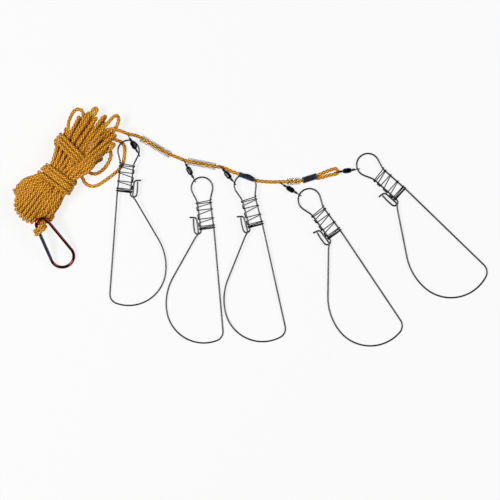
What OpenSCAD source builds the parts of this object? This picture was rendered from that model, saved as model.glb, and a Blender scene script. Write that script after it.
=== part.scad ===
/* [Rope] */
// Diameter of the braided rope
rope_d = 3.4; // [3.2:0.1:3.5]
// Outside diameter of the clear sleeves on the rope
sleeve_d = 6.6; // [6:0.1:7]
// Wall of the clear sleeves
sleeve_wall = 0.6; // [0.4:0.1:0.8]
// Diameter of the snug sleeve on the bare line
collar_d = 4.6; // [4.4:0.1:4.8]
// Diameter of the cuff that grips the line's sewn end
cuff_d = 5.8; // [5.4:0.1:6]

/* [Hank] */
// Nested loops in one layer of the hank
hank_loops = 3; // [2:1:4]
// Distance from the middle of the waist to the end of the round head
hank_head = 44; // [40:1:48]
// Distance from the middle of the waist to the tips of the upper loops
hank_tail = 76; // [70:1:80]
// Step from strand to strand in the head
head_step = 5.1; // [4.8:0.1:5.4]
// Step from strand to strand across the splayed upper loops
tail_step = 6; // [5.2:0.1:6.4]
// Step from strand to strand at the waist
waist_step = 4.1; // [4:0.1:4.3]
// Step from layer to layer
layer_step = 4; // [3.9:0.1:4.2]
// Turns of rope bound round the waist
binding_turns = 5; // [3:1:6]
// Step from turn to turn of the binding
binding_step = 4; // [3.9:0.1:4.3]

/* [Snaps] */
// Diameter of the stainless snap wire
wire_d = 1.5; // [1.2:0.05:1.6]
// Diameter of the finer wire wound round the two rails
wind_d = 0.9; // [0.7:0.05:1]
// Radius of the ring at the top of a snap
ring_r = 10; // [9:0.25:11]
// Height of the middle of the ring above the ladder
ring_rise = 12.4; // [12:0.2:13.4]
// Spacing of the two rails of the ladder
rail_gap = 12.2; // [11.4:0.2:13]
// Length of the wire-wound ladder
ladder_len = 27; // [25:0.5:29]
// Distance from the top of the ladder to the tight lower corner
corner_drop = 122.4; // [115:0.5:130]
// Radius of the tight lower corner
corner_r = 9; // [8:0.1:10]
// Radius of the wide bend of the loop
bulge_r = 35; // [33:0.5:37]
// Radius of the loop's outer side above the wide bend
flank_r = 50; // [46:0.5:54]
// Reach of the catch hook beside the rail
hook_reach = 6.2; // [5.6:0.1:7]
// Length of the bent finger tip of the loop's free leg
spike_len = 6.4; // [5:0.1:8]

/* [Swivels] */
// Distance between the middles of a swivel's two eyes
swivel_len = 19.5; // [18.5:0.5:20.5]
// Length of a swivel's barrel
barrel_len = 8; // [7:0.25:8.5]
// Diameter of a swivel's barrel
barrel_d = 4.8; // [4.4:0.1:5]
// Diameter of the wire of a swivel's eyes
eye_wire_d = 0.9; // [0.7:0.05:1]
// Inside diameter of a swivel's eyes
eye_hole_d = 3.2; // [3:0.1:3.4]
// Diameter of the shank that turns in the barrel
shank_d = 1.3; // [1.1:0.1:1.5]
// Running clearance of a turning pin, on the radius
run_gap = 0.05; // [0.03:0.01:0.08]

/* [Carabiner] */
// Diameter of the carabiner's rod
rod_d = 2.8; // [2.4:0.1:3]
// Radius of the narrow upper bend, on the rod's middle
arch_r = 5.7; // [5.2:0.1:6.2]
// Radius of the wide lower bend, on the rod's middle
basket_r = 10.5; // [9.5:0.1:11.5]
// Distance between the middles of the two bends
bend_span = 35.5; // [33:0.5:38]
// Diameter of the gate's tube
gate_d = 3.2; // [3:0.1:3.4]
// Diameter of the gate's rivet
rivet_d = 1.2; // [1:0.1:1.3]

/* [Hidden] */
// Fineness of the exact round shapes
round_fn = 48;
rope_sides = 8;
hank_sides = 6;
hank_rings = 22;
// The snaps' places on the table, as x, y of the ladder's top, on a layout of lay_w by lay_h
lay_w = 200;
lay_h = 100;
place_shares = [[-0.62, 0.693], [-0.2685, 0.355], [-0.0615, 0.378], [0.256, 0.263], [0.5365, 0.602]];
turn_degrees = [-6.7, 7.4, 14.9, 36.2, 48.3];
tilt_degrees = [2.1, 0.5, 1.7, 0.5, 0.5];
hand_shares = [-1, 1, 1, 1, 1];
size_shares = [0.98, 0.985, 1, 1.03, 1.045];
// Where the swivel's eye holds the ring, and which way the swivel points from the rope, in degrees
hold_degrees = [-18.3, 134.3, 168, 153.4, 202.7];
aim_degrees = [-61.6, -61.5, -50, -31.4, 8.2];
dip_degrees = [17, 0.6, -6, 0.6, 0.6];
// A flat snap rests on its winding, and the first one lies on the loose loop
wind_gap = 0.03;
wrap_r = wire_d / 2 + wind_d / 2 + wind_gap;
rest_gap = 0.2;
wind_lift_share = 1.05;
flat_z = wrap_r + wind_d * wind_lift_share;
first_z = rope_d + wrap_r + wind_d;
third_z = collar_d + rest_gap;
snap_z = [first_z, flat_z, third_z, flat_z, flat_z];

// General helpers
function unit(v) = v / norm(v);
function last(v) = v[len(v) - 1];
function arc(c, r, a, b, n) = [for (i = [0 : n]) c + r * [cos(a + (b - a) * i / n), sin(a + (b - a) * i / n)]];
function flat3(pts, z = 0) = [for (p = pts) [p[0], p[1], z]];
function tangents(p) = let (n = len(p)) [for (i = [0 : n - 1])
    unit(p[min(i + 1, n - 1)] - p[max(i - 1, 0)])];
function across(n, t) = unit(n - (n * t) * t);
function start_normal(t) = across(abs(t[2]) < 0.9 ? [0, 0, 1] : [1, 0, 0], t);
function normals(t) = [for (i = 0, m = start_normal(t[0]); i < len(t);
    i = i + 1, m = i < len(t) ? across(m, t[i]) : m) m];
// A smooth curve through hand-chosen points
function spline(p, k) = let (n = len(p)) concat([for (i = [0 : n - 2]) for (s = [0 : k - 1])
    let (u = s / k, a = p[max(i - 1, 0)], b = p[i], c = p[i + 1], d = p[min(i + 2, n - 1)])
    0.5 * (2 * b + u * (c - a) + u * u * (2 * a - 5 * b + 4 * c - d) + u * u * u * (3 * b - a - 3 * c + d))],
    [p[n - 1]]);

// Least gap between a tube's stretches, over points more than three diameters apart along its path
function travel(path) = [for (i = 0, a = 0; i < len(path); i = i + 1,
    a = i < len(path) ? a + norm(path[i] - path[i - 1]) : a) a];
function least_gap(path, d) = let (n = len(path), s = travel(path))
    min([for (i = [0 : n - 2]) for (j = [i + 1 : n - 1]) if (s[j] - s[i] > 3 * d) norm(path[i] - path[j])]) - d;

// A closed tube along a path
module tube(path, d, sides) {
    t = tangents(path);
    m = normals(t);
    n = len(path);
    pts = [for (i = [0 : n - 1]) let (b = cross(t[i], m[i])) for (j = [0 : sides - 1])
        path[i] + d / 2 * (cos(360 * j / sides) * m[i] + sin(360 * j / sides) * b)];
    skin = [for (i = [0 : n - 2]) for (j = [0 : sides - 1])
        let (a = i * sides + j, b = i * sides + (j + 1) % sides)
        each [[a, a + sides, b], [b, a + sides, b + sides]]];
    first = [for (j = [1 : sides - 2]) [0, j, j + 1]];
    end = (n - 1) * sides;
    final = [for (j = [1 : sides - 2]) [end, end + j + 1, end + j]];
    polyhedron(points = pts, faces = concat(skin, first, final), convexity = 8);
}

// Rope routes on the table, as hand-chosen points
line_route = [[-137.6, 101.1, 15], [-131.6, 99.6, 15], [-128, 98.6, 14.4], [-124, 97, 13], [-120, 96, 10.8], [-116.6, 95.6, 7.6],
    [-113.4, 94.6, 4.6], [-109, 92, 3.4], [-100, 86.8, 3.4], [-91, 81.6, 3.4], [-87, 79.4, 3.4],
    [-82, 77.2, 2.8], [-76.8, 75.2, 2], [-73, 73.6, 1.8], [-70.4, 72.6, 2.6], [-67, 72, 3.4],
    [-58, 70.2, 3.4], [-49, 68.4, 3.4], [-44.6, 67.5, 3.4], [-41, 67, 2.7], [-37.6, 66.6, 1.8],
    [-33.6, 65.4, 1.8], [-28, 62.8, 2], [-22, 60.6, 2.3], [-14, 57.6, 2.3], [-6, 54.6, 2.3], [2, 53.4, 2],
    [10, 53, 1.8], [17, 53.2, 2], [22, 53.2, 3], [26, 53.4, 3.4], [33, 53.8, 3.4], [36, 54, 3.2],
    [39, 54.8, 3], [44, 56.4, 3], [49, 58, 3], [53, 59.8, 2.4], [58, 62.2, 1.8], [64.6, 64.6, 1.8]];
bight_route = [[64.6, 64.6, 1.8], [67.6, 65.2, 1.8], [69.4, 64, 1.8], [70, 62.2, 1.8], [68.8, 60.6, 1.8],
    [66, 60.2, 1.8], [61, 58.8, 1.8], [56, 57, 1.8], [52, 55.4, 1.8]];
loose_route = [[-164.3, 53.9, 5.6], [-161.4, 56.2, 6.6], [-160.4, 53.4, 4.6], [-158.8, 50.4, 2.4], [-155, 49, 1.8],
    [-148, 52, 1.8], [-137, 60, 1.8], [-131, 65.6, 1.8], [-127.8, 71, 1.8], [-126.6, 79, 1.8],
    [-126.6, 85, 1.8], [-128.8, 89, 3], [-132, 90.4, 5],
    [-138.5, 92.3, 6.5]];
side_route = [[-143.2, 81.7, 6.2], [-139.4, 81.2, 5.6], [-138.8, 78, 4], [-140.8, 72.4, 2.2], [-145, 65.4, 1.8], [-151, 61, 1.8],
    [-155.4, 60.4, 3], [-157.8, 63, 5.6], [-157.4, 65.6, 5.6]];

module rope_line() {
    color("goldenrod") tube(spline(line_route, 2), rope_d, rope_sides);
}

// The doubled end of the line that holds the last swivel
module end_bight() {
    color("goldenrod") tube(spline(bight_route, 3), rope_d, rope_sides);
}

module loose_loop() {
    color("goldenrod") tube(spline(loose_route, 3), rope_d, rope_sides);
}

module side_loop() {
    color("goldenrod") tube(spline(side_route, 3), rope_d, rope_sides);
}

// The hank: nested loops that spiral out and in again, four layers deep, drawn in at the waist
hank_layers = 4;
hank_place = [-190.9, 50.9];
hank_turn = 50.8;
binding_gap = 0.3;
hank_floor = rope_d + binding_gap + rope_d / 2;
end_square_share = 0.8;
outer_layer_share = 0.84;
inner_layer_share = 0.34;
tip_step = 5.5;
waist_x = 9;
waist_reach = 20;
splay_reach = 40;
rise_turns = 0.5;
function hank_layer(t) = let (b = round(t / hank_loops), u = (t - b * hank_loops) / rise_turns)
    b < 1 ? 0 : b >= hank_layers ? hank_layers - 1 : b - 0.5 + max(-0.5, min(0.5, u));
function hank_spiral(t) = let (c = t / hank_loops, k = floor(c), f = c - k)
    (k % 2 == 0 ? f : 1 - f) * hank_loops + 0.5;
function round_pow(v, p) = sign(v) * pow(abs(v), p);
function step_at(x) = let (d = x - waist_x, wide = d < 0 ? head_step : tail_step,
    w = exp(-pow(d / (d < 0 ? waist_reach : splay_reach), 4))) waist_step * w + wide * (1 - w);
function hank_point(t) = let (
    a = 360 * t,
    r = hank_spiral(t),
    k = hank_layer(t),
    outer = abs(k - (hank_layers - 1) / 2) / ((hank_layers - 1) / 2),
    trim = 1 - (1 - outer_layer_share) * max(0, (outer - inner_layer_share) / (1 - inner_layer_share)),
    left = hank_loops + 0.5 - r,
    reach = cos(a) < 0 ? hank_head - left * head_step : hank_tail - left * tip_step,
    x = (cos(a) < 0 ? trim : 1) * (reach - rope_d / 2) * round_pow(cos(a), end_square_share),
    y = r * step_at(x) * round_pow(sin(a), end_square_share))
    [x, y, hank_floor + layer_step * k];
hank_path = [for (i = [0 : hank_layers * hank_loops * hank_rings]) hank_point(i / hank_rings)];

module rope_hank() {
    color("goldenrod") translate([hank_place[0], hank_place[1], 0]) rotate(hank_turn)
        tube(hank_path, rope_d, hank_sides);
}

// The binding: turns of rope wound round the waist
bind_half_w = (hank_loops + 0.5) * step_at(waist_x + binding_turns / 2 * binding_step) + binding_gap;
bind_half_h = (hank_layers - 1) / 2 * layer_step;
bind_r = rope_d + binding_gap;
bind_z = hank_floor + bind_half_h;
bind_start = 7.5;
binding_path = [for (i = [0 : binding_turns * hank_rings]) let (t = i / hank_rings,
    a = 360 * t + bind_start)
    [(t - binding_turns / 2) * binding_step + waist_x,
    bind_half_w * sign(cos(a)) + bind_r * cos(a), bind_z + bind_half_h * sign(sin(a)) + bind_r * sin(a)]];

module hank_binding() {
    color("goldenrod") translate([hank_place[0], hank_place[1], 0]) rotate(hank_turn)
        tube(binding_path, rope_d, hank_sides);
}

// Sleeves on the rope line, each along one stretch of the route
module sleeve(from, to, outer_d, inner_d) {
    axis = to - from;
    angle = atan2(axis[1], axis[0]);
    pitch = atan2(axis[2], norm([axis[0], axis[1]]));
    translate(from) rotate([0, 90 - pitch, angle]) difference() {
        cylinder(h = norm(axis), d = outer_d, $fn = round_fn);
        translate([0, 0, -overrun]) cylinder(h = norm(axis) + 2 * overrun, d = inner_d, $fn = round_fn);
    }
}

snug_gap = 0.3;
overrun = 1;
sleeve_ends = [[[-111, 93.2, 3.4], [-84.4, 77.8, 3.4]], [[-68.2, 72.24, 3.4], [-42.4, 67.06, 3.4]],
    [[23, 53.2, 3.4], [35, 53.92, 3.4]]];
collar_ends = [[[-21, 60.2, 2.3], [-7.4, 55.1, 2.3]], [[37.4, 54.3, 3], [50.4, 58.5, 3]]];
collar_sizes = [collar_d, cuff_d];

module clear_sleeve(i) {
    color("azure") sleeve(sleeve_ends[i][0], sleeve_ends[i][1], sleeve_d, sleeve_d - 2 * sleeve_wall);
}

module dark_sleeve(i) {
    color("dimgray") sleeve(collar_ends[i][0], collar_ends[i][1], collar_sizes[i], rope_d + snug_gap);
}

// Snap wire outline in its own plane, with the ladder's top at the origin and the loop hanging down
rail_x = rail_gap / 2;
corner_share = 0.055;
bulge_gap = bulge_r - corner_r;
bulge_lean = 13;
corner_c = [-corner_share * corner_drop, -corner_drop];
bulge_c = corner_c + bulge_gap * [-sin(bulge_lean), cos(bulge_lean)];
flank_c = bulge_c + [flank_r - bulge_r, 0];
leg_gap = 0.12;
leg_x = -(rail_x + wire_d + wind_d + leg_gap);
leg_dz = wire_d + leg_gap;
leg_top_share = 0.55;
leg_low_share = 1.05;
leg_top_y = -ladder_len * leg_top_share;
leg_low = [leg_x, -ladder_len * leg_low_share];
leg_dist = norm(leg_low - flank_c);
leg_angle = atan2(leg_low[1] - flank_c[1], leg_low[0] - flank_c[0]) + acos(flank_r / leg_dist);
leg_touch = arc(flank_c, flank_r, leg_angle, leg_angle, 1)[0];
bulge_start = 190;
descent_shares = [0.12, 0.5];
spike_rise_share = 0.2;
bend_r = 1.6;
bend_shares = [[-1, 0.3], [-0.3, -0.3], [0, -1]];
leg_end_share = 0.96;
ring_c = [0, ring_rise];
ring_start = -52;
ring_end = 232;
corner_end = 362.5;
rail_mid_share = 0.5;
hook_r = hook_reach / 2;
hook_shares = [[1, 0.9], [0.9, 1.9]];
wire_path = concat(
    [[leg_x - spike_len, leg_top_y + spike_len * spike_rise_share, leg_dz]],
    [for (q = bend_shares) [leg_x + bend_r * q[0], leg_top_y + bend_r * q[1], leg_dz]],
    [[leg_x, leg_low[1] * leg_end_share, leg_dz]],
    [for (q = descent_shares) let (p = leg_low + (leg_touch - leg_low) * q) [p[0], p[1], leg_dz * (1 - q)]],
    flat3(arc(flank_c, flank_r, leg_angle, 180, 5)),
    flat3(arc(bulge_c, bulge_r, bulge_start, 270 + bulge_lean, 9)),
    flat3(arc(corner_c, corner_r, 270 + bulge_lean, corner_end, 7)),
    [for (y = [-ladder_len - wire_d, -ladder_len * rail_mid_share, -wire_d]) [rail_x, y, 0]],
    flat3(arc(ring_c, ring_r, ring_start, ring_end, 18)),
    [for (y = [-wire_d, -ladder_len * rail_mid_share, -ladder_len + wire_d]) [-rail_x, y, 0]],
    flat3(arc([-rail_x - hook_r, -ladder_len], hook_r, 0, -180, 7)),
    [for (q = hook_shares) [-rail_x - hook_reach * q[0], hook_reach * q[1] - ladder_len, 0]]);

// Ladder winding: for each rung across the front, round the right rail, and back on a slant
rung_shares = [0, 0.1, 0.31, 0.6, 0.86, 0.94];
rung_slant = 1.4;
return_share = 0.4;
curl_shares = [[0, 1], [0.71, 0.71], [1, 0], [0.71, -0.71], [0, -1]];
function rung_y(k) = k < len(rung_shares) ? -ladder_len * rung_shares[k]
    : -ladder_len * last(rung_shares) - rung_slant - wind_gap;
function return_y(k) = (1 - return_share) * (rung_y(k) - rung_slant) + return_share * rung_y(k + 1);
winding_path = [for (k = [0 : len(rung_shares) - 1]) each concat(
    [for (c = curl_shares) [rail_x + wrap_r * c[0], rung_y(k) - rung_slant * (1 - c[1]) / 2, wrap_r * c[1]]],
    [for (j = [4 : -1 : 2]) let (c = curl_shares[j])
        [-rail_x - wrap_r * c[0], return_y(k), wrap_r * c[1]]],
    [for (j = [2 : -1 : 0]) let (c = curl_shares[j])
        [-rail_x - wrap_r * c[0], rung_y(k + 1), wrap_r * c[1]]])];

module place_snap(i) {
    translate([place_shares[i][0] * lay_w, place_shares[i][1] * lay_h, snap_z[i]]) rotate(turn_degrees[i])
        rotate([tilt_degrees[i], 0, 0]) scale(size_shares[i])
            mirror([hand_shares[i] < 0 ? 1 : 0, 0, 0]) children();
}

module snap_wire(i) {
    color("silver") place_snap(i) tube(wire_path, wire_d, rope_sides);
}

module ladder_winding(i) {
    color("dimgray") place_snap(i) tube(winding_path, wind_d, hank_sides);
}

// Swivels: an eye on the rope, a barrel, and an eye on the snap's ring
function ring_mid(i) = let (t = turn_degrees[i], up = ring_rise * size_shares[i])
    [place_shares[i][0] * lay_w - up * cos(tilt_degrees[i]) * sin(t),
    place_shares[i][1] * lay_h + up * cos(tilt_degrees[i]) * cos(t), snap_z[i] + up * sin(tilt_degrees[i])];
function hold_point(i) = let (c = ring_mid(i), r = ring_r * size_shares[i], a = hold_degrees[i])
    [c[0] + r * cos(a), c[1] + r * sin(a), c[2] + hold_lift];
hold_lift = 0.3;

module place_swivel(i) {
    translate(hold_point(i)) rotate([0, 0, aim_degrees[i] + 180]) rotate([0, -dip_degrees[i], 0]) children();
}

neck_out = (swivel_len - barrel_len) / 2;
end_wall = 1.2;
head_d = 2.6;
head_len = 0.9;
bore_d = shank_d + 2 * run_gap;

// An eye at the origin with its shank along +X, ending in a head inside the barrel
module swivel_eye() {
    rotate([90, 0, 0]) rotate_extrude($fn = round_fn) translate([(eye_hole_d + eye_wire_d) / 2, 0])
        circle(d = eye_wire_d, $fn = round_fn / 2);
    shank_start = (eye_hole_d + eye_wire_d) / 2;
    translate([shank_start, 0, 0]) rotate([0, 90, 0])
        cylinder(h = neck_out + end_wall + run_gap - shank_start, d = shank_d, $fn = round_fn);
    translate([neck_out + end_wall + run_gap, 0, 0]) rotate([0, 90, 0])
        cylinder(h = head_len, d = head_d, $fn = round_fn);
}

barrel_end_share = 0.62;
barrel_straight_share = 0.55;
head_gap = 0.2;
module swivel_barrel() {
    half = barrel_len / 2;
    rad = barrel_d / 2;
    translate([neck_out + half, 0, 0]) rotate([0, 90, 0]) difference() {
        rotate_extrude($fn = round_fn) polygon([[0, -half],
            [rad * barrel_end_share, -half], [rad, -half * barrel_straight_share],
            [rad, half * barrel_straight_share], [rad * barrel_end_share, half], [0, half]]);
        cylinder(h = barrel_len - 2 * end_wall, r = head_d / 2 + head_gap, center = true, $fn = round_fn);
        cylinder(h = barrel_len + barrel_d, d = bore_d, center = true, $fn = round_fn);
    }
}

module rope_eye(i) {
    color("dimgray") place_swivel(i) translate([swivel_len, 0, 0]) rotate([0, 0, 180]) swivel_eye();
}

module barrel(i) {
    color("dimgray") place_swivel(i) swivel_barrel();
}

module snap_eye(i) {
    color("dimgray") place_swivel(i) swivel_eye();
}

// Carabiner: a pear of rod with a tube gate on its left side
clip_aim = -60.6;
clip_dip = 20;
clip_place = [-200, 13.6, (bend_span + basket_r) * sin(clip_dip) + rod_d / 2];
side_lean = asin((basket_r - arch_r) / bend_span);
side_len = bend_span * cos(side_lean);
nose_len = 6;
gate_gap = 0.4;
tongue_t = 1.2;
slot_t = 1.5;
tongue_len = 2.6;
nose_tongue_share = 0.7;
pivot_tongue_share = 0.8;
pivot_back = 2.8;
ear_r = gate_d / 2;
pivot_s = side_len - pivot_back;
gate_len = pivot_s + ear_r - nose_len - gate_gap;
slot_len = tongue_len + gate_gap * 2;
sink = 0.2;

module place_clip() {
    translate(clip_place) rotate([0, 0, clip_aim]) rotate([0, clip_dip, 0]) children();
}

// The rod's left side line runs from the arch to the basket, and the gate lies on it
module on_gate_line() {
    rotate(-side_lean) translate([0, -arch_r, 0]) children();
}

module along_x(length, d) {
    rotate([0, 90, 0]) cylinder(h = length, d = d, $fn = round_fn);
}

rod_sides = 12;
side_dir = [cos(side_lean), -sin(side_lean)];
rod_path = flat3(concat([arch_r * [-sin(side_lean), -cos(side_lean)] + nose_len * side_dir],
    arc([0, 0], arch_r, 270 - side_lean, 90 + side_lean, 12),
    arc([bend_span, 0], basket_r, 90 + side_lean, -90 - side_lean, 16)));

module carabiner_frame() {
    color("firebrick") place_clip() difference() {
        union() {
            tube(rod_path, rod_d, rod_sides);
            on_gate_line() {
                translate([nose_len - sink, -rod_d * nose_tongue_share / 2, -tongue_t / 2])
                    cube([tongue_len + sink, rod_d * nose_tongue_share, tongue_t]);
                translate([pivot_s, 0, -tongue_t / 2]) cylinder(h = tongue_t, d = rod_d, $fn = round_fn);
                translate([pivot_s, -rod_d * pivot_tongue_share / 2, -tongue_t / 2])
                    cube([pivot_back + sink, rod_d * pivot_tongue_share, tongue_t]);
            }
        }
        on_gate_line() translate([pivot_s, 0, -tongue_t])
            cylinder(h = 2 * tongue_t, d = rivet_d + 2 * run_gap, $fn = round_fn);
    }
}

module carabiner_gate() {
    color("silver") place_clip() on_gate_line() difference() {
        translate([nose_len + gate_gap, 0, 0]) along_x(gate_len, gate_d);
        translate([nose_len - gate_gap, -gate_d, -slot_t / 2]) cube([slot_len + gate_gap, 2 * gate_d, slot_t]);
        translate([pivot_s - rod_d / 2 - gate_gap, -gate_d, -slot_t / 2])
            cube([gate_len, 2 * gate_d, slot_t]);
        translate([pivot_s, 0, -gate_d]) cylinder(h = 2 * gate_d, d = rivet_d, $fn = round_fn);
    }
}

module gate_rivet() {
    rivet_len = sqrt(pow(gate_d, 2) - pow(rivet_d, 2));
    color("silver") place_clip() on_gate_line() translate([pivot_s, 0, -rivet_len / 2])
        cylinder(h = rivet_len, d = rivet_d, $fn = round_fn);
}

// The rope's bight goes twice round the rod, below the arch and above the gate's nose
bight_turns = 1.9;
bight_gap = 0.3;
bight_r = rod_d / 2 + rope_d / 2 + bight_gap;
bight_step = 3.9;
bight_start = -0.4;
bight_angle = -75;
first_tail = [-2.2, -1.6, -0.3];
second_tail = [-1, -1.7, -2.4];
bight_path = let (n = round(bight_turns * 16), wound = [for (i = [0 : n])
    let (t = i / 16, a = bight_angle + 360 * t)
    [bight_start + bight_step * t, bight_r * cos(a), bight_r * sin(a)]])
    concat([wound[0] + first_tail], wound, [last(wound) + second_tail]);

module clip_bight() {
    color("goldenrod") place_clip() on_gate_line() tube(bight_path, rope_d, rope_sides);
}

echo(str("least gap in the hank ", least_gap(hank_path, rope_d)));
echo(str("least gap in the binding ", least_gap(binding_path, rope_d)));
echo(str("least gap in the ladder winding ", least_gap(winding_path, wind_d)));
echo(str("least gap in the clip's bight ", least_gap(bight_path, rope_d)));
rope_line();
rope_hank();
hank_binding();
loose_loop();
side_loop();
clip_bight();
end_bight();
for (i = [0 : 2]) clear_sleeve(i);
for (i = [0 : 1]) dark_sleeve(i);
for (i = [0 : 4]) rope_eye(i);
for (i = [0 : 4]) barrel(i);
for (i = [0 : 4]) snap_eye(i);
for (i = [0 : 4]) snap_wire(i);
for (i = [0 : 4]) ladder_winding(i);
carabiner_frame();
carabiner_gate();
gate_rivet();
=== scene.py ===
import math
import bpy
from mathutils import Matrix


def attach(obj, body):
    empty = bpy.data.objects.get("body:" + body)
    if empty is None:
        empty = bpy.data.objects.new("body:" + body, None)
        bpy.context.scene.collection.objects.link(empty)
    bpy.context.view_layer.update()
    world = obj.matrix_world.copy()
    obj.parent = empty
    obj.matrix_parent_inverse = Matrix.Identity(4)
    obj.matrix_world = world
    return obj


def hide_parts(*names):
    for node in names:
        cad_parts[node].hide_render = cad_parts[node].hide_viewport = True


bl_info = {
    "name": "Fish Stringer",
    "version": (1, 0, 0),
    "blender": (4, 5, 0),
    "location": "3D View > Sidebar > Stringer",
    "description": "Dresses a fish stringer: braided rope, wire snaps, swivels and a spring-gate carabiner",
    "category": "Object",
}

import bmesh
import bpy
import numpy as np
from bpy.props import FloatProperty, FloatVectorProperty, PointerProperty
from mathutils import Matrix, Vector

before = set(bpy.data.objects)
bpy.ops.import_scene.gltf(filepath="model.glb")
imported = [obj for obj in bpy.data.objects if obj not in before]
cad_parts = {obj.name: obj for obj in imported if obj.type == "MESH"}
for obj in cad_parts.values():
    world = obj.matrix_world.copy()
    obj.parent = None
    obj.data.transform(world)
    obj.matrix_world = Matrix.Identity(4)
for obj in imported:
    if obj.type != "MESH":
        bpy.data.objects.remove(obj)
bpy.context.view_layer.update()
MM = 0.001

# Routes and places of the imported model, in millimetres
LINE_ROUTE = [
    (-137.6, 101.1, 15), (-131.6, 99.6, 15), (-128, 98.6, 14.4), (-124, 97, 13), (-120, 96, 10.8),
    (-116.6, 95.6, 7.6), (-113.4, 94.6, 4.6), (-109, 92, 3.4), (-100, 86.8, 3.4), (-91, 81.6, 3.4),
    (-87, 79.4, 3.4), (-82, 77.2, 2.8), (-76.8, 75.2, 2), (-73, 73.6, 1.8), (-70.4, 72.6, 2.6),
    (-67, 72, 3.4), (-58, 70.2, 3.4), (-49, 68.4, 3.4), (-44.6, 67.5, 3.4), (-41, 67, 2.7),
    (-37.6, 66.6, 1.8), (-33.6, 65.4, 1.8), (-28, 62.8, 2), (-22, 60.6, 2.3), (-14, 57.6, 2.3),
    (-6, 54.6, 2.3), (2, 53.4, 2), (10, 53, 1.8), (17, 53.2, 2), (22, 53.2, 3), (26, 53.4, 3.4),
    (33, 53.8, 3.4), (36, 54, 3.2), (39, 54.8, 3), (44, 56.4, 3), (49, 58, 3), (53, 59.8, 2.4),
    (58, 62.2, 1.8), (64.6, 64.6, 1.8)]
END_ROUTE = [
    (64.6, 64.6, 1.8), (67.6, 65.2, 1.8), (69.4, 64, 1.8), (70, 62.2, 1.8), (68.8, 60.6, 1.8),
    (66, 60, 1.8), (61, 59, 1.8), (56, 57.4, 1.8), (52.6, 56.6, 1.9), (49.6, 56.6, 2.2)]
LOOSE_ROUTE = [
    (-171, 63, 10), (-167, 59.6, 8.6), (-164.6, 56, 6.4), (-163, 52.4, 3.4), (-159.6, 49.8, 1.8),
    (-154.4, 49.2, 1.8), (-148, 52, 1.8), (-137, 60, 1.8), (-131, 65.6, 1.8), (-127.8, 71, 1.8),
    (-126.6, 79, 1.8), (-126.6, 85, 1.8), (-128.8, 89, 3), (-132, 90.8, 5), (-138.5, 92.3, 7),
    (-145, 91, 9)]
SIDE_ROUTE = [
    (-146, 88, 11), (-142, 84.6, 8.6), (-139.6, 81.4, 5.6), (-139, 77.6, 3.4), (-140.8, 72.4, 2),
    (-145, 65.8, 1.8), (-151, 61.2, 1.8), (-156, 60.6, 3), (-160, 62.6, 5.6), (-163, 67, 8), (-164, 71, 10)]
CLEAR_SLEEVES = [((-111, 93.2, 3.4), (-84.4, 77.8, 3.4)), ((-68.2, 72.24, 3.4), (-42.4, 67.06, 3.4)),
                 ((23, 53.2, 3.4), (35, 53.92, 3.4))]
DARK_SLEEVES = [((-21, 60.2, 2.3), (-7.4, 55.1, 2.3), 4.6), ((37.4, 54.3, 3), (50.4, 58.5, 3), 5.8)]
HANK_PLACE = Matrix.Translation((-190.9, 50.9, 0)) @ Matrix.Rotation(math.radians(50.8), 4, "Z")
# Distance and lowest height of the hank's stretches, and the room inside the binding
PITCH = 3.42
LOWEST = 1.75
WAIST_ROOM = dict(start=-2, end=20, half=14.4, low=5.4, high=17.5)
# The dark sleeves' bore and the camera's place over the floor in metres, and its sensor in millimetres
DARK_BORE = 0.0037
VIEW_POINT = (-0.01104, -0.00966)
SENSOR = 36


class RopeSettings(bpy.types.PropertyGroup):
    diameter: FloatProperty(name="Rope Diameter", description="Diameter of the braided rope",
                            default=0.0034, unit="LENGTH")
    lay: FloatProperty(name="Braid Lay", description="Length of rope in which a strand goes round once",
                       default=0.0155, unit="LENGTH")
    strand: FloatProperty(name="Strand Height", description="How far a strand stands out of the braid",
                          default=0.00044, unit="LENGTH")
    wave: FloatProperty(name="Strand Wave", description="How far a strand rises over the one it crosses",
                        default=0.00034, unit="LENGTH")
    color: FloatVectorProperty(name="Yarn Color", description="Golden orange of the yarn", subtype="COLOR",
                               default=(0.98, 0.29, 0.003), min=0, max=1)
    # Painted highlight: the paler colour laid on the crowns of the strands, where light catches them.
    pale: FloatVectorProperty(name="Crown Highlight Color", description="Paler yarn on the crowns of the strands",
                              subtype="COLOR", default=(1.0, 0.86, 0.11), min=0, max=1)
    # Painted shade: the darker red-orange laid in the hollows between the strands.
    deep: FloatVectorProperty(name="Deep Yarn Color", description="Red orange between the strands",
                              subtype="COLOR", default=(0.20, 0.036, 0.0003), min=0, max=1)


class SnapSettings(bpy.types.PropertyGroup):
    wire: FloatProperty(name="Snap Wire", description="Diameter of the stainless snap wire",
                        default=0.0015, unit="LENGTH")
    winding: FloatProperty(name="Winding Wire", description="Diameter of the wire wound round the rails",
                           default=0.0009, unit="LENGTH")
    steel: FloatVectorProperty(name="Wire Color", description="Color of the drawn wire", subtype="COLOR",
                               default=(0.085, 0.085, 0.092), min=0, max=1)
    dark: FloatVectorProperty(name="Winding Color", description="Color of the winding wire", subtype="COLOR",
                              default=(0.009, 0.009, 0.011), min=0, max=1)


class ClipSettings(bpy.types.PropertyGroup):
    rod: FloatProperty(name="Rod Diameter", description="Diameter of the carabiner's rod",
                       default=0.0028, unit="LENGTH")
    red: FloatVectorProperty(name="Anodised Color", description="Dark red of the carabiner", subtype="COLOR",
                             default=(0.20, 0.003, 0.013), min=0, max=1)
    gate: FloatVectorProperty(name="Gate Color", description="Steel of the gate", subtype="COLOR",
                              default=(0.34, 0.35, 0.46), min=0, max=1)


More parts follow.
